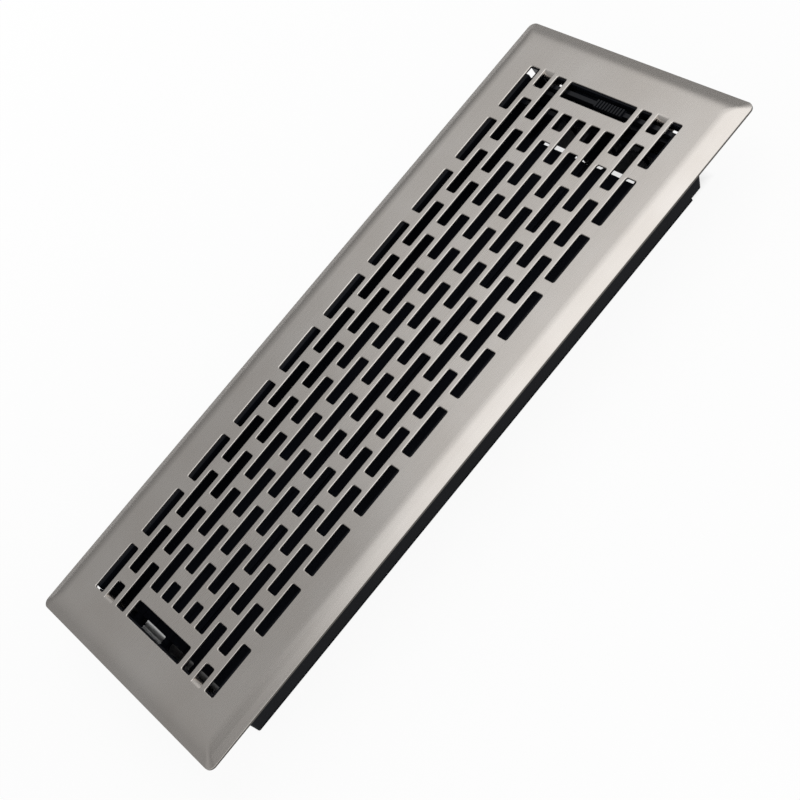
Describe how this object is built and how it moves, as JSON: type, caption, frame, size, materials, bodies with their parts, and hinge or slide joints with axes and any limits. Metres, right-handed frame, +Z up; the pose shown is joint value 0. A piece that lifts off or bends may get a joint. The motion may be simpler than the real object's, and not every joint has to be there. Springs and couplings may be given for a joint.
{
  "type": "floor register",
  "caption": "Floor register with a crowned, slotted metal faceplate over a black damper box whose sliding lever turns a bank of blades to open or shut the airway.",
  "frame": {"origin": "middle of the plan, at the level of the damper box's bottom edge", "axes": "+X along the length towards the lever end, +Z up out of the floor, +Y across the width towards the lever's open end of travel"},
  "size_m": [0.343, 0.1396, 0.0345],
  "materials": {
    "satin_nickel": "satin nickel plate, finely brushed along the length",
    "black_plastic": "black moulded plastic with a satin surface"
  },
  "bodies": {
    "base": {"faceplate": "satin_nickel", "damper_box": "black_plastic"},
    "lever": {"lever": "black_plastic"},
    "blade_1": {"blade_1": "black_plastic"},
    "blade_2": {"blade_2": "black_plastic"},
    "blade_3": {"blade_3": "black_plastic"},
    "blade_4": {"blade_4": "black_plastic"}
  },
  "joints": [
    {"name": "lever_slide", "type": "slide", "parent": "base", "child": "lever", "axis": [0, 1, 0], "range_m": [0, 0.01273]},
    {"name": "blade_1_pivot", "type": "hinge", "parent": "base", "child": "blade_1", "pos_m": [0, -0.03471, 0.015], "axis": [-1, 0, 0], "range_deg": [0, 90]},
    {"name": "blade_2_pivot", "type": "hinge", "parent": "base", "child": "blade_2", "pos_m": [0, -0.01157, 0.015], "axis": [-1, 0, 0], "range_deg": [0, 90]},
    {"name": "blade_3_pivot", "type": "hinge", "parent": "base", "child": "blade_3", "pos_m": [0, 0.01157, 0.015], "axis": [-1, 0, 0], "range_deg": [0, 90]},
    {"name": "blade_4_pivot", "type": "hinge", "parent": "base", "child": "blade_4", "pos_m": [0, 0.03471, 0.015], "axis": [-1, 0, 0], "range_deg": [0, 90]}
  ],
  "couplings": [
    {"joint": "blade_1_pivot", "follows": "lever_slide", "rad_per_m": 123.41},
    {"joint": "blade_2_pivot", "follows": "lever_slide", "rad_per_m": 123.41},
    {"joint": "blade_3_pivot", "follows": "lever_slide", "rad_per_m": 123.41},
    {"joint": "blade_4_pivot", "follows": "lever_slide", "rad_per_m": 123.41}
  ]
}
